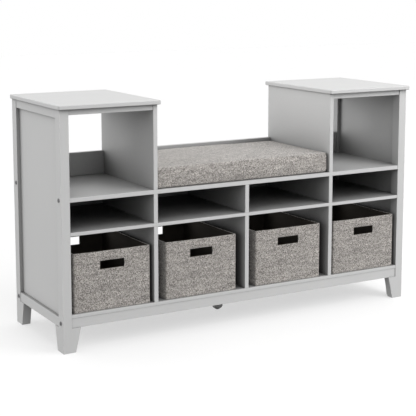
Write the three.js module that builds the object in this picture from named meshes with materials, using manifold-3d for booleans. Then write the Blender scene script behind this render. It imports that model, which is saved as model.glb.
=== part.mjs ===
// Entryway bench: two cubby towers with a cushioned seat between them, a row of four low cubbies
// under the seat shelf, and four fabric bins on the bottom shelf.
// Millimetres. The front faces -Y, +X is to the right of someone facing it, and the floor is z = 0.
// The origin is on the floor, under the middle of the bench.

import * as THREE from 'three';
import { mergeVertices } from 'three/addons/utils/BufferGeometryUtils.js';
import Module from 'manifold-3d';

const wasm = await Module();
wasm.setup();

// Overall size, over the two top boards
const WIDTH = 1200;
const DEPTH = 372;
const HEIGHT = 690;

// Top boards of the towers
const TOP_T = 12;
const TOP_SIDE_OVERHANG = 7.5;
const TOP_FRONT_OVERHANG = 11;
const TOP_CORNER_R = 6;
const TOP_CORNER_STEPS = 6;

// Legs: posts, with a foot that is wider than the post and tapers to the floor
const LEG_X = 26;
const LEG_Y = 32;
const FOOT_H = 70;
const FOOT_TAPER = 16;
const FOOT_WIDTH_X = 53;
const FOOT_WIDTH_Y = 58;
const FOOT_FRONT_T = 24;

// Framed side: rails and a thin panel between a front leg and a rear leg
const SIDE_RAIL_T = 22;
const SIDE_RAIL_SETBACK = 1;
const SIDE_TOP_RAIL_H = 25;
const PANEL_T = 5;
const PANEL_SETBACK = 10;

// Shelves, named by the height of their upper faces
const SEAT_Z = 435;
const SEAT_T = 12;
const MIDDLE_Z = 339;
const MIDDLE_T = 10;
const BOTTOM_Z = 108;
const BOTTOM_T = 10;
const BOARD_SETBACK = 0.5;
const REAR_SETBACK = 11;

// Upright boards
const UPRIGHT_T = 13;
const UPRIGHT_INSET = 282;

// Rails and back boards
const APRON_T = 22;
const APRON_SETBACK = 2;
const FRONT_RAIL_H = 16;
const REAR_RAIL_H = 30;
const BACK_T = 16;
const BACK_RAIL_TOP = 505;
const BACK_PANEL_T = 3;

// Fabric bins
const BIN_W = 235;
const BIN_D = 320;
const BIN_H = 168.5;
const BIN_WALL = 4;
const BIN_SETBACK = 7;
const BIN_BASE_T = 2.5;
const BIN_BASE_GAP = 1;
const HAND_HOLE_W = 75;
const HAND_HOLE_H = 24.5;
const HAND_HOLE_Z = 116;

// Seat cushion
const CUSHION_W = 594;
const CUSHION_D = 322;
const CUSHION_H = 61;
const CUSHION_SETBACK = 8;
const CUSHION_CORNER_R = 8;
const CUSHION_CORNER_STEPS = 6;

// Gap under what lifts or slides off
const RUNNING_GAP = 0.5;

// Connector bolts through the legs
const BOLT_HEAD_R = 5.5;
const BOLT_HEAD_T = 2;
const BOLT_R = 3;
const BOLT_LENGTH = 50;
const BOLT_HOLE_R = 3.5;
const BOLT_HOLE_DEPTH = 52;
const SOCKET_R = 2.3;
const SOCKET_DEPTH = 1.6;
const SOCKET_SIDES = 6;
const FRONT_BOLT_INSET = 16;
const REAR_BOLT_INSET = 20;
const BOLT_SIDES = 24;

// Round support foot under the middle of the bottom shelf
const SUPPORT_FLANGE_R = 22;
const SUPPORT_FLANGE_T = 4;
const SUPPORT_STEM_R = 12;
const SUPPORT_NECK_Z = 19;
const SUPPORT_PAD_R = 16.5;
const SUPPORT_PAD_Z = 16;
const SUPPORT_RIM_Z = 11.2;
const SUPPORT_WAIST_R = 14;
const SUPPORT_WAIST_Z = 6.4;
const SUPPORT_TIP_R = 5;
const SUPPORT_SIDES = 32;

// Places worked out from the sizes above
const LEG_OUT = WIDTH / 2 - TOP_SIDE_OVERHANG;
const LEG_IN = LEG_OUT - LEG_X;
const FRONT = -DEPTH / 2 + TOP_FRONT_OVERHANG;
const REAR = DEPTH / 2;
const LEG_TOP = HEIGHT - TOP_T;
const BOARD_FRONT = FRONT + BOARD_SETBACK;
const BOARD_REAR = REAR - REAR_SETBACK;
const BACK_FRONT = BOARD_REAR - BACK_T;
const PANEL_OUT = LEG_OUT - PANEL_SETBACK;
const PANEL_IN = PANEL_OUT - PANEL_T;
const UPRIGHT_OUT = LEG_OUT - UPRIGHT_INSET;
const UPRIGHT_IN = UPRIGHT_OUT - UPRIGHT_T;
const SHELF_UNDER = BOTTOM_Z - BOTTOM_T;

const SIDES = { left: -1, right: 1 };

const paint = { color: 0xcdcdcb, roughness: 0.45, metalness: 0 };
const plastic = { color: 0x8a8a8a, roughness: 0.6, metalness: 0 };
const lining = { color: 0x2b2825, roughness: 0.9, metalness: 0 };
const boltSteel = { color: 0x7c7c7e, roughness: 0.4, metalness: 0.8 };
const linen = { color: 0xa09a94, roughness: 0.95, metalness: 0 };

const bench = new THREE.Group();

// A box-like solid between z0 and z1. top and floor are its outlines as [x0, x1, y0, y1].
function taperedBlock(top, floor, z0, z1) {
  const geometry = new THREE.BoxGeometry(1, 1, 1);
  const points = geometry.attributes.position;
  for (let i = 0; i < points.count; i += 1) {
    const upper = points.getZ(i) > 0;
    const outline = upper ? top : floor;
    const x = outline[points.getX(i) > 0 ? 1 : 0];
    const y = outline[points.getY(i) > 0 ? 3 : 2];
    points.setXYZ(i, x, y, upper ? z1 : z0);
  }
  return geometry;
}

function block(x0, x1, y0, y1, z0, z1) {
  const outline = [x0, x1, y0, y1];
  return taperedBlock(outline, outline, z0, z1);
}

// The span from a to b on the given side, as [low, high]
function span(side, a, b) {
  return side < 0 ? [-Math.max(a, b), -Math.min(a, b)] : [Math.min(a, b), Math.max(a, b)];
}

function roundedRectangle(x0, x1, y0, y1, r) {
  const shape = new THREE.Shape();
  shape.absarc(x0 + r, y0 + r, r, Math.PI, 1.5 * Math.PI);
  shape.absarc(x1 - r, y0 + r, r, 1.5 * Math.PI, 2 * Math.PI);
  shape.absarc(x1 - r, y1 - r, r, 0, 0.5 * Math.PI);
  shape.absarc(x0 + r, y1 - r, r, 0.5 * Math.PI, Math.PI);
  return shape;
}

function slab(shape, z0, z1, curveSegments) {
  const settings = { depth: z1 - z0, bevelEnabled: false, curveSegments };
  return new THREE.ExtrudeGeometry(shape, settings).translate(0, 0, z0);
}

// A cylinder along X from x0 towards the outside of the given side
function rodAlongX(side, r, x0, x1, y, z, segments) {
  const [low, high] = span(side, x0, x1);
  const rod = new THREE.CylinderGeometry(r, r, high - low, segments);
  return rod.rotateZ(Math.PI / 2).translate((low + high) / 2, y, z);
}

function solid(geometry) {
  const bare = geometry.clone();
  bare.deleteAttribute('normal');
  bare.deleteAttribute('uv');
  const merged = mergeVertices(bare, 1e-4);
  const vertProperties = new Float32Array(merged.attributes.position.array);
  const triVerts = new Uint32Array(merged.index.array);
  return new wasm.Manifold(new wasm.Mesh({ numProp: 3, vertProperties, triVerts }));
}

function surface(manifold) {
  const mesh = manifold.getMesh();
  const geometry = new THREE.BufferGeometry();
  geometry.setAttribute('position', new THREE.BufferAttribute(mesh.vertProperties, 3));
  geometry.setIndex(new THREE.BufferAttribute(mesh.triVerts, 1));
  geometry.computeVertexNormals();
  return geometry;
}

function joined(...geometries) {
  return surface(geometries.map(solid).reduce((whole, piece) => whole.add(piece)));
}

function cut(geometry, holes) {
  return surface(holes.reduce((whole, hole) => whole.subtract(solid(hole)), solid(geometry)));
}

function place(name, geometry, look) {
  const mesh = new THREE.Mesh(geometry, new THREE.MeshStandardMaterial(look));
  mesh.name = name;
  bench.add(mesh);
}

// Where the bolts go through one leg: [y, z] of each
function boltPlaces(end) {
  const y = end === 'front' ? FRONT + FRONT_BOLT_INSET : REAR - REAR_BOLT_INSET;
  return { seat: [y, SEAT_Z - SEAT_T / 2], low: [y, (FOOT_H + SHELF_UNDER) / 2] };
}

function boltHole(side, [y, z]) {
  return rodAlongX(side, BOLT_HOLE_R, LEG_OUT - BOLT_HOLE_DEPTH, LEG_OUT + 1, y, z, BOLT_SIDES);
}

// The holes that the bolts of both sides need at one level
function boltHoles(end, level) {
  return Object.values(SIDES).map((side) => boltHole(side, boltPlaces(end)[level]));
}

function leg(side, end) {
  const atFront = end === 'front';
  const across = (a, b) => span(side, a, b);
  const along = (depth) => (atFront ? [FRONT, FRONT + depth] : [REAR - depth, REAR]);
  const post = block(...across(LEG_OUT, LEG_IN), ...along(LEG_Y), 0, LEG_TOP);
  const sideFoot = taperedBlock(
    [...across(LEG_OUT, LEG_IN), ...along(FOOT_WIDTH_Y)],
    [...across(LEG_OUT, LEG_IN), ...along(FOOT_WIDTH_Y - FOOT_TAPER)],
    0,
    FOOT_H,
  );
  const pieces = [post, sideFoot];
  if (atFront) {
    const floorIn = LEG_OUT - FOOT_WIDTH_X + FOOT_TAPER;
    const frontFoot = taperedBlock(
      [...across(LEG_OUT, LEG_OUT - FOOT_WIDTH_X), ...along(FOOT_FRONT_T)],
      [...across(LEG_OUT, floorIn), ...along(FOOT_FRONT_T)],
      0,
      FOOT_H,
    );
    pieces.push(frontFoot);
  }
  const holes = Object.values(boltPlaces(end)).map((at) => boltHole(side, at));
  return cut(joined(...pieces), holes);
}

function bolt(side, [y, z]) {
  const head = rodAlongX(side, BOLT_HEAD_R, LEG_OUT, LEG_OUT + BOLT_HEAD_T, y, z, BOLT_SIDES);
  const shank = rodAlongX(
    side, BOLT_R, LEG_OUT + BOLT_HEAD_T / 2, LEG_OUT - BOLT_LENGTH, y, z, BOLT_SIDES,
  );
  const socketFloor = LEG_OUT + BOLT_HEAD_T - SOCKET_DEPTH;
  const socket = rodAlongX(side, SOCKET_R, socketFloor, LEG_OUT + BOLT_HEAD_T + 1, y, z, SOCKET_SIDES);
  return cut(joined(head, shank), [socket]);
}

// A full-width shelf, notched round the four posts and reaching both side panels
function shelf(zTop, thickness) {
  const z0 = zTop - thickness;
  const board = block(-PANEL_IN, PANEL_IN, BOARD_FRONT, BOARD_REAR, z0, zTop);
  const notches = Object.values(SIDES).flatMap((side) => [
    block(...span(side, LEG_IN, LEG_OUT), FRONT, FRONT + LEG_Y, z0 - 1, zTop + 1),
    block(...span(side, LEG_IN, LEG_OUT), REAR - LEG_Y, REAR, z0 - 1, zTop + 1),
  ]);
  return [board, notches];
}

function sideFrame(word, side) {
  for (const end of ['front', 'rear']) {
    place(`${end}_${word}_leg`, leg(side, end), paint);
    for (const [level, at] of Object.entries(boltPlaces(end))) {
      place(`${end}_${word}_${level}_bolt`, bolt(side, at), boltSteel);
    }
  }
  const railX = span(side, LEG_OUT - SIDE_RAIL_SETBACK, LEG_OUT - SIDE_RAIL_SETBACK - SIDE_RAIL_T);
  const between = [FRONT + LEG_Y, REAR - LEG_Y];
  const topRailUnder = LEG_TOP - SIDE_TOP_RAIL_H;
  place(`${word}_side_top_rail`, block(...railX, ...between, topRailUnder, LEG_TOP), paint);
  place(`${word}_side_bottom_rail`, block(...railX, ...between, FOOT_H, SHELF_UNDER), paint);
  const panelX = span(side, PANEL_OUT, PANEL_IN);
  place(`${word}_side_panel`, block(...panelX, ...between, SHELF_UNDER, topRailUnder), paint);
}

function tower(word, side) {
  const topX = span(side, WIDTH / 2, UPRIGHT_IN - TOP_SIDE_OVERHANG);
  const outline = roundedRectangle(...topX, -DEPTH / 2, REAR, TOP_CORNER_R);
  place(`${word}_top_board`, slab(outline, LEG_TOP, HEIGHT, TOP_CORNER_STEPS), paint);

  const uprightX = span(side, UPRIGHT_OUT, UPRIGHT_IN);
  const upright = block(...uprightX, BOARD_FRONT, BOARD_REAR, SEAT_Z, LEG_TOP);
  place(`${word}_tower_upright`, upright, paint);

  const bayX = span(side, LEG_IN, UPRIGHT_OUT);
  const railFront = FRONT + APRON_SETBACK;
  const railBack = railFront + APRON_T;
  const frontRail = block(...bayX, railFront, railBack, LEG_TOP - FRONT_RAIL_H, LEG_TOP);
  place(`${word}_front_top_rail`, frontRail, paint);
  const rearRail = block(...bayX, BACK_FRONT, BOARD_REAR, LEG_TOP - REAR_RAIL_H, LEG_TOP);
  place(`${word}_rear_top_rail`, rearRail, paint);
  const backRail = block(...bayX, BACK_FRONT, BOARD_REAR, SEAT_Z, BACK_RAIL_TOP);
  place(`${word}_back_rail`, backRail, paint);
}

function carcass() {
  const seatHoles = [...boltHoles('front', 'seat'), ...boltHoles('rear', 'seat')];
  const [seatBoard, seatNotches] = shelf(SEAT_Z, SEAT_T);
  place('seat_shelf', cut(seatBoard, [...seatNotches, ...seatHoles]), paint);
  place('middle_shelf', cut(...shelf(MIDDLE_Z, MIDDLE_T)), paint);
  place('bottom_shelf', cut(...shelf(BOTTOM_Z, BOTTOM_T)), paint);

  const dividers = {
    left: [-UPRIGHT_OUT, -UPRIGHT_IN],
    right: [UPRIGHT_IN, UPRIGHT_OUT],
    centre: [-UPRIGHT_T / 2, UPRIGHT_T / 2],
  };
  for (const [word, x] of Object.entries(dividers)) {
    const upper = block(...x, BOARD_FRONT, BOARD_REAR, MIDDLE_Z, SEAT_Z - SEAT_T);
    place(`${word}_upper_divider`, upper, paint);
    const lower = block(...x, BOARD_FRONT, BOARD_REAR, BOTTOM_Z, MIDDLE_Z - MIDDLE_T);
    place(`${word}_lower_divider`, lower, paint);
  }

  const apronFront = FRONT + APRON_SETBACK;
  const frontApron = block(-LEG_IN, LEG_IN, apronFront, apronFront + APRON_T, FOOT_H, SHELF_UNDER);
  place('front_apron', cut(frontApron, boltHoles('front', 'low')), paint);
  const rearApron = block(-LEG_IN, LEG_IN, BACK_FRONT, BOARD_REAR, FOOT_H, SHELF_UNDER);
  place('rear_apron', cut(rearApron, boltHoles('rear', 'low')), paint);

  const seatBack = block(-UPRIGHT_IN, UPRIGHT_IN, BACK_FRONT, BOARD_REAR, SEAT_Z, BACK_RAIL_TOP);
  place('seat_back_rail', seatBack, paint);
  const panelZ = [MIDDLE_Z - MIDDLE_T, SEAT_Z];
  const panelY = [BOARD_REAR, BOARD_REAR + BACK_PANEL_T];
  place('middle_back_panel', block(-LEG_IN, LEG_IN, ...panelY, ...panelZ), paint);
}

function supportFoot() {
  const profile = [
    [0, 0],
    [SUPPORT_TIP_R, 0],
    [SUPPORT_WAIST_R, SUPPORT_WAIST_Z],
    [SUPPORT_PAD_R, SUPPORT_RIM_Z],
    [SUPPORT_PAD_R, SUPPORT_PAD_Z],
    [SUPPORT_STEM_R, SUPPORT_NECK_Z],
    [SUPPORT_STEM_R, SHELF_UNDER - SUPPORT_FLANGE_T],
    [SUPPORT_FLANGE_R, SHELF_UNDER - SUPPORT_FLANGE_T],
    [SUPPORT_FLANGE_R, SHELF_UNDER],
    [0, SHELF_UNDER],
  ].map(([r, z]) => new THREE.Vector2(r, z));
  const foot = new THREE.LatheGeometry(profile, SUPPORT_SIDES).rotateX(Math.PI / 2);
  foot.translate(0, (BOARD_FRONT + BOARD_REAR) / 2, 0);
  place('centre_support_foot', foot, plastic);
}

// An open-topped fabric box with a hand hole in its front and rear walls, and its loose base board
function bin(number, xMiddle) {
  const x = [xMiddle - BIN_W / 2, xMiddle + BIN_W / 2];
  const y = [FRONT + BIN_SETBACK, FRONT + BIN_SETBACK + BIN_D];
  const z0 = BOTTOM_Z + RUNNING_GAP;
  const shellBox = block(...x, ...y, z0, z0 + BIN_H);
  const inX = [x[0] + BIN_WALL, x[1] - BIN_WALL];
  const inY = [y[0] + BIN_WALL, y[1] - BIN_WALL];
  const hollow = block(...inX, ...inY, z0 + BIN_WALL, z0 + BIN_H + 1);
  const holeX = [xMiddle - HAND_HOLE_W / 2, xMiddle + HAND_HOLE_W / 2];
  const holeZ = [z0 + HAND_HOLE_Z, z0 + HAND_HOLE_Z + HAND_HOLE_H];
  const handHoles = block(...holeX, y[0] - 1, y[1] + 1, ...holeZ);
  place(`bin_${number}`, cut(shellBox, [hollow, handHoles]), linen);

  const baseX = [inX[0] + BIN_BASE_GAP, inX[1] - BIN_BASE_GAP];
  const baseY = [inY[0] + BIN_BASE_GAP, inY[1] - BIN_BASE_GAP];
  const baseZ = [z0 + BIN_WALL, z0 + BIN_WALL + BIN_BASE_T];
  place(`bin_${number}_base_board`, block(...baseX, ...baseY, ...baseZ), lining);
}

function bins() {
  const endBay = (LEG_IN + UPRIGHT_OUT) / 2;
  const innerBay = (UPRIGHT_IN + UPRIGHT_T / 2) / 2;
  [-endBay, -innerBay, innerBay, endBay].forEach((x, i) => bin(i + 1, x));
}

function cushion() {
  const y0 = FRONT + CUSHION_SETBACK;
  const x = [-CUSHION_W / 2, CUSHION_W / 2];
  const outline = roundedRectangle(...x, y0, y0 + CUSHION_D, CUSHION_CORNER_R);
  const z0 = SEAT_Z + RUNNING_GAP;
  place('seat_cushion', slab(outline, z0, z0 + CUSHION_H, CUSHION_CORNER_STEPS), linen);
}

for (const [word, side] of Object.entries(SIDES)) {
  sideFrame(word, side);
  tower(word, side);
}
carcass();
supportFoot();
bins();
cushion();

export default bench;
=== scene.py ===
# The looks of an entryway bench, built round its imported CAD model: painted boards, four fabric
# bins, a sewn seat cushion, and a plain studio.
# Metres, in the model's own frame: the front faces -Y, +X is to the right, and the floor is z = 0.

import math

import bmesh
import bpy
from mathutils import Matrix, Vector, noise
from mathutils.bvhtree import BVHTree
from mathutils.kdtree import KDTree


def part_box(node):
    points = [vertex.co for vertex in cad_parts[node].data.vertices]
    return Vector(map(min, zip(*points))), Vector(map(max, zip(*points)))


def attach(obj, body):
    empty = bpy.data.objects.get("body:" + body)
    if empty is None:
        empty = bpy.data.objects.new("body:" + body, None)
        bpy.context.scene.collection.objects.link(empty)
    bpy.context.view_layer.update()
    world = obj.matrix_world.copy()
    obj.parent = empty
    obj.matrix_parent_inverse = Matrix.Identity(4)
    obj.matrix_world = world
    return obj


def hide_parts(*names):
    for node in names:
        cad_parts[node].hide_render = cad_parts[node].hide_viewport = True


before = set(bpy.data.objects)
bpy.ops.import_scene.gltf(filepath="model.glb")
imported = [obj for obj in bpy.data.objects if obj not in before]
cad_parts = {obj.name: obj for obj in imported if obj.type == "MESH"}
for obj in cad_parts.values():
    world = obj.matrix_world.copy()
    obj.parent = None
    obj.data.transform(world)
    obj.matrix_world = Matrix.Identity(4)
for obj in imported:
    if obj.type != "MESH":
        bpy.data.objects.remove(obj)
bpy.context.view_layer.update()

# Eased edges of the boards, by kind of board
BOARD_EDGE = 0.0007
TOP_EDGE = 0.0022
LEG_EDGE = 0.0022
METAL_EDGE = 0.0003
BOARD_EDGE_ANGLE = math.radians(35)

# Slack that keeps rounding errors from moving a point in or out of a range
TINY = 1e-9

# Fabric bins: an outer linen cover, and a dark lining inside it whose rim is a little lower
COVER_T = 0.0018
LINING_T = 0.0020
LINING_GAP = 0.0001
LINING_STEP_DOWN = 0.0012
BIN_CORNER_R = 0.0035
BIN_GRID = 0.012
HAND_HOLE_W = 0.075
HAND_HOLE_H = 0.0245
HAND_HOLE_Z = 0.116
LINING_HOLE_MARGIN = 0.0015
BIN_SIDE_PULL = 0.0016
BIN_RIM_SAG = 0.0010
BIN_RIPPLE = 0.0006
BIN_RIPPLE_SCALE = 14
BIN_SEED_STEP = 7.3
CLOTH_EDGE_ANGLE = math.radians(50)

# Seat cushion
CUSHION_CORNER_R = 0.008
CUSHION_START_INSET = 0.0004
CUSHION_SIDE_PULL = 0.0025
CUSHION_TOP_DROP = 0.0015
CUSHION_VOXEL = 0.005
CUSHION_CAP = 0.005
CUSHION_FRAMES = 20
CUSHION_PRESSURE = 0.6
CUSHION_GAP = 0.0006
CUSHION_FRONT_ROOM = 0.008
CUSHION_TOP_ROOM = 0.02
CUSHION_CORNER_STEPS = 6
HELD_UNDERSIDE = 0.001
SEAM_BAND = 0.004
SEAM_DEPTH = 0.0012
SEAM_WIDTH = 0.0026
SEAM_STEP = 0.002
SEAM_CORNER_STEPS = 10

# Weave. Each cloth has a dark, a middle and a light shade, and the yarns' noise goes from dark to
# light between the two stops. A few weft yarns together run darker or lighter for some centimetres.
WEAVE_UV = "weave"
YARN_PITCH = 0.0013
SLUB_LENGTH = 0.0032
YARN_WANDER = 0.3
DARK_STOP = 0.415
LIGHT_STOP = 0.585
STREAK_SCALE = (14, 90, 1)
BIN_SHADES = ((0.125, 0.113, 0.103), (0.35, 0.325, 0.302), (0.74, 0.70, 0.66))
SEAT_SHADES = ((0.125, 0.113, 0.103), (0.365, 0.34, 0.317), (0.75, 0.71, 0.67))

# Paint. Ambient occlusion within the reach darkens its colour. This is painted shade, deepest in the
# cubbies.
PAINT_COLOUR = (0.60, 0.60, 0.597)
PAINTED_SHADE_REACH = 0.18
PAINTED_SHADE_POWER = 0.85
GRAIN_ACROSS = 230.0
GRAIN_ALONG = 6.0

# Other colours
ZINC_COLOUR = (0.22, 0.22, 0.225)
PLASTIC_COLOUR = (0.32, 0.32, 0.32)
LINING_COLOUR = (0.058, 0.051, 0.043)

# Ring of light round the object: height of a direction, from -1 down to 1 up, and level there
RING_LIGHT = ((-0.45, 0.0), (-0.35, 0.26), (-0.05, 0.34), (0.28, 1.0), (0.62, 0.64), (0.9, 0.05))
RING_STRENGTH = 1.8

# Lamps and floor. The floor glows so that it meets the white backdrop, and only shadows show on it.
SUN_WIDTH = 40
SOFTBOX_SIZE = (1.6, 1.2)
FLOOR_SIZE = 12.0
FLOOR_GREY = 0.45
FLOOR_GLOW = 0.56

# Camera
CAMERA_AT = (-1.7635, -3.0149, 1.0194)
CAMERA_TURN = math.radians(-29.843)
CAMERA_TILT = math.radians(-8.170)
CAMERA_LENS_MM = 99.22
CAMERA_SENSOR_MM = 36.0
CAMERA_SHIFT_UP = -0.15


# ---------------------------------------------------------------- helpers

def add_object(name, data):
    piece = bpy.data.objects.new(name, data)
    bpy.context.scene.collection.objects.link(piece)
    return piece


def mesh_object(name, bm, material):
    mesh = bpy.data.meshes.new(name)
    bm.to_mesh(mesh)
    bm.free()
    mesh.materials.append(material)
    for polygon in mesh.polygons:
        polygon.use_smooth = True
    return add_object(name, mesh)


def modify(piece, kind, **settings):
    modifier = piece.modifiers.new(kind.lower(), kind)
    for key, value in settings.items():
        setattr(modifier, key, value)
    return modifier


def apply_modifiers(piece):
    """Replaces the mesh of a piece by what its modifiers make of it."""
    graph = bpy.context.evaluated_depsgraph_get()
    made = bpy.data.meshes.new_from_object(piece.evaluated_get(graph))
    piece.modifiers.clear()
    piece.data = made


def new_material(name):
    material = bpy.data.materials.new(name)
    material.use_nodes = True
    tree = material.node_tree
    tree.nodes.clear()
    output = tree.nodes.new("ShaderNodeOutputMaterial")
    surface = tree.nodes.new("ShaderNodeBsdfPrincipled")
    tree.links.new(surface.outputs["BSDF"], output.inputs["Surface"])
    return material, tree, surface.inputs


def add_node(tree, kind, inputs, **settings):
    """A new shader node. inputs maps its sockets to values, or to outputs of other nodes."""
    node = tree.nodes.new("ShaderNode" + kind)
    for key, value in settings.items():
        setattr(node, key, value)
    for key, value in inputs.items():
        if isinstance(value, bpy.types.NodeSocket):
            tree.links.new(value, node.inputs[key])
        else:
            node.inputs[key].default_value = value
    return node


def calculate(tree, operation, *values):
    inputs = dict(enumerate(values))
    return add_node(tree, "Math", inputs, operation=operation).outputs[0]


def spread(tree, value, low, high):
    """Rescales a value between 0 and 1 to run from low to high."""
    return add_node(tree, "MapRange", {"Value": value, "To Min": low, "To Max": high}).outputs[0]


def noise_of(tree, vector, scale, detail=2.0):
    inputs = {"Vector": vector, "Scale": scale, "Detail": detail}
    return add_node(tree, "TexNoise", inputs).outputs["Fac"]


def object_point(tree, scale=(1, 1, 1)):
    point = add_node(tree, "TexCoord", {}).outputs["Object"]
    return add_node(tree, "Mapping", {"Vector": point, "Scale": scale}).outputs[0]


def tinted(tree, colour, strength):
    """A colour made lighter or darker by a factor."""
    rgb = add_node(tree, "RGB", {}).outputs[0]
    rgb.default_value = (*colour, 1)
    inputs = {0: rgb, "Scale": strength}
    return add_node(tree, "VectorMath", inputs, operation="SCALE").outputs[0]


def bump(tree, surface, height, distance, strength=1.0):
    inputs = {"Height": height, "Distance": distance, "Strength": strength}
    tree.links.new(add_node(tree, "Bump", inputs).outputs[0], surface["Normal"])


# ---------------------------------------------------------------- materials

def paint(axis):
    """Satin grey paint. The faint grain that it lets through runs along the given axis."""
    material, tree, surface = new_material("paint_along_" + "xyz"[axis])
    stretch = [GRAIN_ACROSS] * 3
    stretch[axis] = GRAIN_ALONG
    grain = noise_of(tree, object_point(tree, stretch), 1.0, detail=3.0)
    peel = noise_of(tree, object_point(tree), 800.0)
    cloud = noise_of(tree, object_point(tree), 5.0)
    grained = spread(tree, grain, 0.965, 1.0)
    shade = calculate(tree, "ADD", grained, spread(tree, cloud, -0.015, 0.02))
    # Painted shade: ambient occlusion darkens the paint's colour in corners and deep in the cubbies.
    opened = add_node(tree, "AmbientOcclusion", {"Distance": PAINTED_SHADE_REACH}, samples=8).outputs["AO"]
    painted_recess_shade = calculate(tree, "POWER", opened, PAINTED_SHADE_POWER)
    tone_with_painted_shade = calculate(tree, "MULTIPLY", shade, painted_recess_shade)
    tree.links.new(tinted(tree, PAINT_COLOUR, tone_with_painted_shade), surface["Base Color"])
    tree.links.new(spread(tree, cloud, 0.40, 0.52), surface["Roughness"])
    relief = calculate(tree, "ADD", grain, calculate(tree, "MULTIPLY", peel, 0.5))
    bump(tree, surface, relief, 0.00012, 0.5)
    return material


def bolt_steel():
    """Dull grey zinc plating, a little blotched."""
    material, tree, surface = new_material("zinc_plated_steel")
    surface["Metallic"].default_value = 0.85
    blotch = noise_of(tree, object_point(tree), 900.0, detail=4.0)
    plating = tinted(tree, ZINC_COLOUR, spread(tree, blotch, 0.6, 1.4))
    tree.links.new(plating, surface["Base Color"])
    tree.links.new(spread(tree, blotch, 0.30, 0.55), surface["Roughness"])
    bump(tree, surface, blotch, 0.00005)
    return material


def grey_plastic():
    """Matt moulded plastic with a gritty face."""
    material, tree, surface = new_material("moulded_plastic")
    grit = noise_of(tree, object_point(tree), 1600.0)
    moulded = tinted(tree, PLASTIC_COLOUR, spread(tree, grit, 0.85, 1.15))
    tree.links.new(moulded, surface["Base Color"])
    tree.links.new(spread(tree, grit, 0.45, 0.65), surface["Roughness"])
    bump(tree, surface, grit, 0.00008)
    return material


def lining():
    """Dark brown non-woven cloth: short fibres pressed together, with fine embossed dots."""
    material, tree, surface = new_material("non_woven_lining")
    fibres = noise_of(tree, object_point(tree), 1400.0, detail=5.0)
    dots = add_node(tree, "TexVoronoi", {"Vector": object_point(tree), "Scale": 420.0}).outputs[0]
    pressed = tinted(tree, LINING_COLOUR, spread(tree, fibres, 0.5, 1.6))
    tree.links.new(pressed, surface["Base Color"])
    surface["Roughness"].default_value = 0.95
    surface["Specular IOR Level"].default_value = 0.2
    bump(tree, surface, calculate(tree, "ADD", fibres, dots), 0.0002)
    return material


def linen(name, shades):
    """A plain weave of uneven yarns. shades are its dark, middle and light colours."""
    material, tree, surface = new_material(name)
    uv = add_node(tree, "UVMap", {}, uv_map=WEAVE_UV).outputs["UV"]
    drift = add_node(tree, "TexNoise", {"Vector": uv, "Scale": 90.0, "Detail": 1.0}).outputs["Color"]
    centred = add_node(tree, "VectorMath", {0: drift, 1: (0.5, 0.5, 0.5)}, operation="SUBTRACT")
    scaled = {0: centred.outputs[0], "Scale": YARN_WANDER * YARN_PITCH}
    wander = add_node(tree, "VectorMath", scaled, operation="SCALE").outputs[0]
    point = add_node(tree, "VectorMath", {0: uv, 1: wander}, operation="ADD").outputs[0]
    split = add_node(tree, "SeparateXYZ", {0: point})
    across = calculate(tree, "DIVIDE", split.outputs[0], YARN_PITCH)
    upward = calculate(tree, "DIVIDE", split.outputs[1], YARN_PITCH)
    column = calculate(tree, "FLOOR", across)
    row = calculate(tree, "FLOOR", upward)

    def yarn(number, along, seed):
        spot = calculate(tree, "MULTIPLY", number, 3.7)
        distance = calculate(tree, "MULTIPLY", along, YARN_PITCH / SLUB_LENGTH)
        vector = add_node(tree, "CombineXYZ", {0: spot, 1: distance, 2: seed}).outputs[0]
        return noise_of(tree, vector, 1.0, detail=3.0)

    warp = yarn(column, upward, 0.5)
    weft = yarn(row, across, 40.5)
    over = calculate(tree, "FLOORED_MODULO", calculate(tree, "ADD", column, row), 2.0)
    tone = add_node(tree, "Mix", {0: over, 2: weft, 3: warp}).outputs[0]

    def roundness(position):
        share = calculate(tree, "FRACT", position)
        return calculate(tree, "SINE", calculate(tree, "MULTIPLY", share, math.pi))

    swell = calculate(tree, "SQRT", calculate(tree, "MULTIPLY", roundness(across), roundness(upward)))
    ramp = add_node(tree, "ValToRGB", {"Fac": tone})
    stops = ramp.color_ramp.elements
    stops[0].position = DARK_STOP
    stops[0].color = (*shades[0], 1)
    stops[1].position = LIGHT_STOP
    stops[1].color = (*shades[2], 1)
    stops.new(0.5).color = (*shades[1], 1)
    stretched = add_node(tree, "Mapping", {"Vector": uv, "Scale": STREAK_SCALE}).outputs[0]
    streak = noise_of(tree, stretched, 1.0, detail=1.0)
    # Painted shade and highlight: the colour darkens in the gaps between yarns and lightens on their
    # crowns. The streaks are the yarns' own tone.
    painted_yarn_shade = spread(tree, swell, 0.55, 1.12)
    light = calculate(tree, "MULTIPLY", painted_yarn_shade, spread(tree, streak, 0.6, 1.4))
    colour_with_painted_yarn_shade = add_node(tree, "VectorMath", {0: ramp.outputs[0], "Scale": light}, operation="SCALE")
    tree.links.new(colour_with_painted_yarn_shade.outputs[0], surface["Base Color"])
    surface["Roughness"].default_value = 0.92
    surface["Specular IOR Level"].default_value = 0.25
    surface["Sheen Weight"].default_value = 0.3
    surface["Sheen Roughness"].default_value = 0.5
    bump(tree, surface, swell, 0.0004, 0.8)
    return material


# ---------------------------------------------------------------- weave coordinates

def way_round(x, y, half_x, half_y, r, right):
    """How far round a rounded rectangle the point lies, from the middle of its front. x and y are
    from its centre, and right is 1 or -1 for the half of the outline that is meant."""
    flat_x = half_x - r
    flat_y = half_y - r
    quarter = flat_x + r * math.pi / 2 + flat_y
    over_x = abs(x) - flat_x
    over_y = abs(y) - flat_y
    if over_x > 0 and over_y > 0:
        turn = flat_x + r * math.atan2(over_x, over_y)
        return right * (turn if y < 0 else 2 * quarter - turn)
    if over_y > over_x:
        return x if y < 0 else right * 2 * quarter - x
    return right * (quarter + y)


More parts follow.
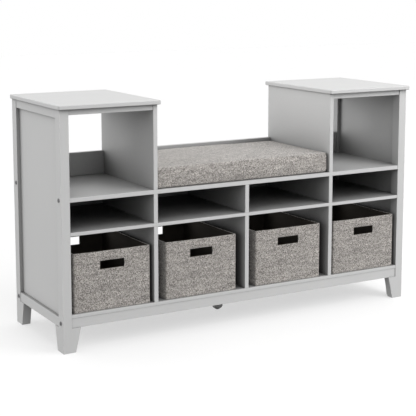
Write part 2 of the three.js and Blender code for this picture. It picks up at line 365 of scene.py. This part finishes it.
def lay_weave(mesh, low, high, r):
    """Gives a mesh weave coordinates in metres: round the outline and up on the sides, straight
    down on the top and the base."""
    centre = (low + high) / 2
    half = (high - low) / 2
    layer = mesh.uv_layers.new(name=WEAVE_UV)
    for polygon in mesh.polygons:
        flat = abs(polygon.normal.z) > 0.75
        right = 1 if polygon.center.x > centre.x else -1
        for loop in polygon.loop_indices:
            at = mesh.vertices[mesh.loops[loop].vertex_index].co - centre
            u = at.x if flat else way_round(at.x, at.y, half.x, half.y, r, right)
            layer.data[loop].uv = (u, at.y if flat else at.z)


# ---------------------------------------------------------------- boards and hardware

def soften_edges(node, width, segments):
    modify(node, "WELD", merge_threshold=0.00001)
    modify(node, "DECIMATE", decimate_type="DISSOLVE", angle_limit=math.radians(1))
    bevel = modify(node, "BEVEL", width=width, segments=segments, limit_method="ANGLE")
    bevel.angle_limit = BOARD_EDGE_ANGLE


def board_edge(name):
    if name.endswith("_leg"):
        return LEG_EDGE
    if name.endswith("_top_board"):
        return TOP_EDGE
    return BOARD_EDGE


def dress_cad_nodes(paints, finishes):
    """Gives every CAD node its finish. A board's grain runs along its longest side."""
    for name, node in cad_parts.items():
        slot_name = node.data.materials[0].name
        if slot_name == "grey_paint":
            low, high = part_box(name)
            size = high - low
            node.material_slots[0].material = paints[max(range(3), key=lambda axis: size[axis])]
            soften_edges(node, board_edge(name), 3)
        else:
            node.material_slots[0].material = finishes[slot_name]
            soften_edges(node, METAL_EDGE, 2)


# ---------------------------------------------------------------- fabric bins

def stations(low, high, step, marks=()):
    """Evenly spaced values from low to high, with the marks among them."""
    ends = sorted({low, high, *marks})
    values = []
    for a, b in zip(ends, ends[1:]):
        count = max(1, round((b - a) / step))
        values += [a + (b - a) * i / count for i in range(count)]
    return values + [high]


def bin_outline(half_x, half_y, r, hole_half):
    """Points round a bin's walls from above, anticlockwise from the front left, each with its
    outward direction, its place along its wall from -1 to 1, and whether the hand hole follows."""
    walls = [
        ((0, -1), half_x, half_y, True),
        ((1, 0), half_y, half_x, False),
        ((0, 1), half_x, half_y, True),
        ((-1, 0), half_y, half_x, False),
    ]
    points = []
    for (out_x, out_y), half_along, half_out, has_hole in walls:
        marks = (-hole_half, hole_half) if has_hole else ()
        flat = half_along - r
        for along in stations(-flat, flat, BIN_GRID, marks):
            x = out_x * half_out - out_y * along
            y = out_y * half_out + out_x * along
            in_hole = has_hole and -hole_half - TINY <= along < hole_half - TINY
            points.append((Vector((x, y)), Vector((out_x, out_y)), along / half_along, in_hole))
        for step in (1, 2):
            angle = math.atan2(out_y, out_x) + step * math.pi / 6
            out = Vector((math.cos(angle), math.sin(angle)))
            corner_x = out_x * half_out - out_y * half_along
            corner_y = out_y * half_out + out_x * half_along
            corner = Vector((corner_x, corner_y))
            inner = corner - Vector((out_x - out_y, out_y + out_x)) * r
            points.append((inner + out * r, out, 1.0, False))
    return points


def bin_wall(name, low, high, hole_margin, material, thickness, seed):
    """A wall sheet with a base: pulled in a little between the corners, its rim sagging slightly."""
    centre = (low + high) / 2
    half = (high - low) / 2
    height = high.z - low.z
    hole_low = HAND_HOLE_Z - hole_margin
    hole_high = HAND_HOLE_Z + HAND_HOLE_H + hole_margin
    outline = bin_outline(half.x, half.y, BIN_CORNER_R, HAND_HOLE_W / 2 + hole_margin)
    levels = stations(0.0, height, BIN_GRID, (hole_low, hole_high))
    bm = bmesh.new()
    rings = []
    for z in levels:
        up = z / height
        ring = []
        for point, out, along, _ in outline:
            between = 1 - along * along
            spot = Vector((point.x, point.y, z)) * BIN_RIPPLE_SCALE + Vector((seed, 0, 0))
            ripple = noise.noise(spot)
            push = BIN_RIPPLE * ripple * between - BIN_SIDE_PULL * between * up * up
            place = point + out * push
            drop = BIN_RIM_SAG * between * up ** 4
            ring.append(bm.verts.new((centre.x + place.x, centre.y + place.y, low.z + z - drop)))
        rings.append(ring)
    count = len(outline)
    for level, (below, above) in enumerate(zip(rings, rings[1:])):
        at_hole = hole_low - TINY <= levels[level] < hole_high - TINY
        for i in range(count):
            if at_hole and outline[i][3]:
                continue
            j = (i + 1) % count
            bm.faces.new((below[i], below[j], above[j], above[i]))
    bm.faces.new(list(reversed(rings[0])))
    piece = mesh_object(name, bm, material)
    lay_weave(piece.data, low, high, BIN_CORNER_R)
    modify(piece, "SOLIDIFY", thickness=thickness, offset=-1.0, use_even_offset=True)
    bevel = modify(piece, "BEVEL", width=thickness * 0.25, segments=2, limit_method="ANGLE")
    bevel.angle_limit = CLOTH_EDGE_ANGLE
    return piece


def fabric_bin(number, cover_cloth, lining_cloth):
    node = f"bin_{number}"
    low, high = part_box(node)
    seed = number * BIN_SEED_STEP
    cover = bin_wall(node + "_cover", low, high, 0.0, cover_cloth, COVER_T, seed)
    inset = Vector((COVER_T, COVER_T, 0)) + Vector((LINING_GAP, LINING_GAP, 0))
    inner_low = low + inset + Vector((0, 0, COVER_T + LINING_GAP))
    inner_high = high - inset - Vector((0, 0, LINING_STEP_DOWN))
    margin = LINING_HOLE_MARGIN
    inner = bin_wall(node + "_lining", inner_low, inner_high, margin, lining_cloth, LINING_T, seed)
    for piece, slot_name in ((cover, "bin_linen"), (inner, "bin_lining")):
        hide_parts(node)
        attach(piece, f"bin_body_{number}")


# ---------------------------------------------------------------- seat cushion

def rounded_outline(low, high, r, per_corner):
    """Corner arcs of a rounded rectangle, anticlockwise from the front right."""
    points = []
    for quarter in range(4):
        start = (quarter - 1) * math.pi / 2
        x = high.x - r if quarter in (0, 1) else low.x + r
        y = low.y + r if quarter in (0, 3) else high.y - r
        for step in range(per_corner + 1):
            angle = start + step / per_corner * math.pi / 2
            points.append((x + r * math.cos(angle), y + r * math.sin(angle)))
    return points


def cushion_block(low, high, material):
    """The cushion before it is filled: a rounded slab, a little smaller than its place."""
    bm = bmesh.new()
    outline = rounded_outline(low, high, CUSHION_CORNER_R, CUSHION_CORNER_STEPS)
    base = bm.faces.new([bm.verts.new((x, y, low.z)) for x, y in reversed(outline)])
    grown = bmesh.ops.extrude_face_region(bm, geom=[base])
    lifted = [item for item in grown["geom"] if isinstance(item, bmesh.types.BMVert)]
    bmesh.ops.translate(bm, vec=(0, 0, high.z - low.z), verts=lifted)
    bmesh.ops.recalc_face_normals(bm, faces=bm.faces)
    piece = mesh_object("seat_cushion_cover", bm, material)
    modify(piece, "REMESH", mode="VOXEL", voxel_size=CUSHION_VOXEL, use_smooth_shade=True)
    apply_modifiers(piece)
    return piece


def draw_sides_in(piece, low, high):
    """Pulls the sides in between the corners, most at the top seam."""
    centre = (low + high) / 2
    half = (high - low) / 2
    for vertex in piece.data.vertices:
        across = (vertex.co.x - centre.x) / half.x
        along = (vertex.co.y - centre.y) / half.y
        pull = CUSHION_SIDE_PULL * (vertex.co.z - low.z) / (high.z - low.z)
        vertex.co.x -= pull * across * max(0.0, 1 - along * along)
        vertex.co.y -= pull * along * max(0.0, 1 - across * across)


def near_seam(point, low, high):
    """Whether a point of the unfilled cushion is by the seam round the top."""
    side = min(point.x - low.x, high.x - point.x, point.y - low.y, high.y - point.y)
    return side < SEAM_BAND and high.z - point.z < SEAM_BAND


def fill_with_foam(piece, low, high):
    """Swells the cushion by cloth simulation. Its underside and the seam round its top are held,
    and no point moves further than the cap."""
    rest = [vertex.co.copy() for vertex in piece.data.vertices]
    held = piece.vertex_groups.new(name="held")
    base = low.z + HELD_UNDERSIDE
    fixed = [i for i, co in enumerate(rest) if co.z < base or near_seam(co, low, high)]
    held.add(fixed, 1.0, "REPLACE")
    settings = modify(piece, "CLOTH").settings
    settings.use_pressure = True
    settings.uniform_pressure_force = CUSHION_PRESSURE
    settings.effector_weights.gravity = 0
    settings.vertex_group_mass = "held"
    settings.quality = 4
    scene = bpy.context.scene
    for number in range(1, CUSHION_FRAMES + 1):
        scene.frame_set(number)
    graph = bpy.context.evaluated_depsgraph_get()
    swollen = [vertex.co.copy() for vertex in piece.evaluated_get(graph).data.vertices]
    piece.modifiers.clear()
    for vertex, start, end in zip(piece.data.vertices, rest, swollen):
        move = end - start
        if move.length > CUSHION_CAP:
            move *= CUSHION_CAP / move.length
        vertex.co = start + move
    scene.frame_set(1)


def keep_between(piece, low, high):
    """Presses the cushion's points back where a neighbouring board is."""
    for vertex in piece.data.vertices:
        for axis in range(3):
            vertex.co[axis] = min(max(vertex.co[axis], low[axis]), high[axis])


def seam_path(piece, low, high):
    """Points of the seam round the top: the places of the cushion nearest to its box's top edge."""
    tree = BVHTree.FromObject(piece, bpy.context.evaluated_depsgraph_get())
    outline = rounded_outline(low, high, CUSHION_CORNER_R, SEAM_CORNER_STEPS)
    path = []
    for (x0, y0), (x1, y1) in zip(outline, outline[1:] + outline[:1]):
        count = max(1, round(math.hypot(x1 - x0, y1 - y0) / SEAM_STEP))
        for step in range(count):
            share = step / count
            edge = Vector((x0 + (x1 - x0) * share, y0 + (y1 - y0) * share, high.z))
            path.append(tree.find_nearest(edge)[0])
    return path


def sink_seam(piece, path, middle):
    """Draws the surface in along the seam."""
    tree = KDTree(len(path))
    for i, point in enumerate(path):
        tree.insert(point, i)
    tree.balance()
    for vertex in piece.data.vertices:
        away = tree.find(vertex.co)[2]
        if away < 3 * SEAM_WIDTH:
            pull = SEAM_DEPTH * math.exp(-((away / SEAM_WIDTH) ** 2))
            vertex.co += (middle - vertex.co).normalized() * pull


def seat_cushion(cloth):
    node = "seat_cushion"
    low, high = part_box(node)
    inset = Vector((CUSHION_START_INSET, CUSHION_START_INSET, 0))
    start_low = low + inset
    start_high = high - inset - Vector((0, 0, CUSHION_TOP_DROP))
    piece = cushion_block(start_low, start_high, cloth)
    draw_sides_in(piece, start_low, start_high)
    fill_with_foam(piece, start_low, start_high)
    modify(piece, "SUBSURF", levels=1, render_levels=1)
    apply_modifiers(piece)
    gap = Vector((CUSHION_GAP, CUSHION_GAP, 0))
    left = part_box("left_tower_upright")[1].x
    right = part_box("right_tower_upright")[0].x
    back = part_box("seat_back_rail")[0].y
    room_low = Vector((left, low.y - CUSHION_FRONT_ROOM, low.z)) + gap
    room_high = Vector((right, back, high.z + CUSHION_TOP_ROOM)) - gap
    keep_between(piece, room_low, room_high)
    sink_seam(piece, seam_path(piece, low, high), (low + high) / 2)
    lay_weave(piece.data, low, high, CUSHION_CORNER_R)
    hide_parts(node)
    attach(piece, "cushion_body")


# ---------------------------------------------------------------- studio

def floor():
    material, tree, surface = new_material("studio_floor")
    surface["Base Color"].default_value = (FLOOR_GREY, FLOOR_GREY, FLOOR_GREY, 1)
    surface["Roughness"].default_value = 0.9
    surface["Specular IOR Level"].default_value = 0.0
    surface["Emission Color"].default_value = (1, 1, 1, 1)
    surface["Emission Strength"].default_value = FLOOR_GLOW
    bm = bmesh.new()
    bmesh.ops.create_grid(bm, x_segments=1, y_segments=1, size=FLOOR_SIZE)
    ground = mesh_object("studio_floor", bm, material)
    ground.visible_diffuse = False
    ground.visible_glossy = False
    ground.visible_shadow = False


def studio_world():
    """White behind the object. The light that it gives is a soft ring, brightest a little above
    the horizon, as from tall diffusers on all sides."""
    world = bpy.data.worlds.new("studio")
    bpy.context.scene.world = world
    world.use_nodes = True
    tree = world.node_tree
    tree.nodes.clear()
    output = tree.nodes.new("ShaderNodeOutputWorld")
    direction = add_node(tree, "TexCoord", {}).outputs["Generated"]
    height = add_node(tree, "SeparateXYZ", {0: direction}).outputs[2]
    share = calculate(tree, "MULTIPLY_ADD", height, 0.5, 0.5)
    ramp = add_node(tree, "ValToRGB", {"Fac": share})
    ring = ramp.color_ramp.elements
    ring[0].position = 0.5 + RING_LIGHT[0][0] / 2
    ring[0].color = (RING_LIGHT[0][1],) * 3 + (1,)
    ring[1].position = 0.5 + RING_LIGHT[-1][0] / 2
    ring[1].color = (RING_LIGHT[-1][1],) * 3 + (1,)
    for position, level in RING_LIGHT[1:-1]:
        ring.new(0.5 + position / 2).color = (level, level, level, 1)
    strength = calculate(tree, "MULTIPLY", ramp.outputs[0], RING_STRENGTH)
    dome = add_node(tree, "Background", {"Strength": strength})
    backdrop = add_node(tree, "Background", {"Color": (1, 1, 1, 1), "Strength": 1.0})
    seen = add_node(tree, "LightPath", {}).outputs["Is Camera Ray"]
    mixed = add_node(tree, "MixShader", {0: seen, 1: dome.outputs[0], 2: backdrop.outputs[0]})
    tree.links.new(mixed.outputs[0], output.inputs["Surface"])


def sun(name, toward, strength):
    """A soft sun whose light comes from the given direction."""
    light = bpy.data.lights.new(name, "SUN")
    light.energy = strength
    light.angle = math.radians(SUN_WIDTH)
    lamp = add_object(name, light)
    lamp.rotation_euler = Vector(toward).to_track_quat("Z", "Y").to_euler()


def softbox(name, place, target, power):
    light = bpy.data.lights.new(name, "AREA")
    light.shape = "RECTANGLE"
    light.size = SOFTBOX_SIZE[0]
    light.size_y = SOFTBOX_SIZE[1]
    light.energy = power
    lamp = add_object(name, light)
    lamp.location = place
    lamp.rotation_euler = (Vector(place) - Vector(target)).to_track_quat("Z", "Y").to_euler()


def lights():
    studio_world()
    sun("top_sun", (0.1, 0.15, 1), 0.6)
    sun("front_sun", (0, -1, 1.2), 0.42)
    sun("rear_left_sun", (-1, 1, 0.15), 0.77)
    softbox("front_softbox", (1.7, -2.2, 1.3), (0.3, 0, 0.35), 22)
    softbox("right_softbox", (1.2, -1.6, 2.4), (0.2, 0, 0.35), 13)


def camera():
    lens = bpy.data.cameras.new("camera")
    lens.lens = CAMERA_LENS_MM
    lens.sensor_width = CAMERA_SENSOR_MM
    lens.shift_y = CAMERA_SHIFT_UP
    view = add_object("camera", lens)
    view.location = CAMERA_AT
    view.rotation_euler = (math.pi / 2 + CAMERA_TILT, 0, CAMERA_TURN)
    bpy.context.scene.camera = view


# ---------------------------------------------------------------- the scene

def build():
    camera()
    lights()
    floor()
    bpy.context.scene.view_settings.view_transform = "Standard"

    bin_cloth = linen("bin_linen_weave", BIN_SHADES)
    seat_cloth = linen("cushion_linen_weave", SEAT_SHADES)
    dark_cloth = lining()
    finishes = {
        "bolt_steel": bolt_steel(),
        "grey_plastic": grey_plastic(),
        "bin_linen": bin_cloth,
        "bin_lining": dark_cloth,
        "cushion_linen": seat_cloth,
    }
    dress_cad_nodes([paint(axis) for axis in range(3)], finishes)
    for number in (1, 2, 3, 4):
        fabric_bin(number, bin_cloth, dark_cloth)
    seat_cushion(seat_cloth)


build()
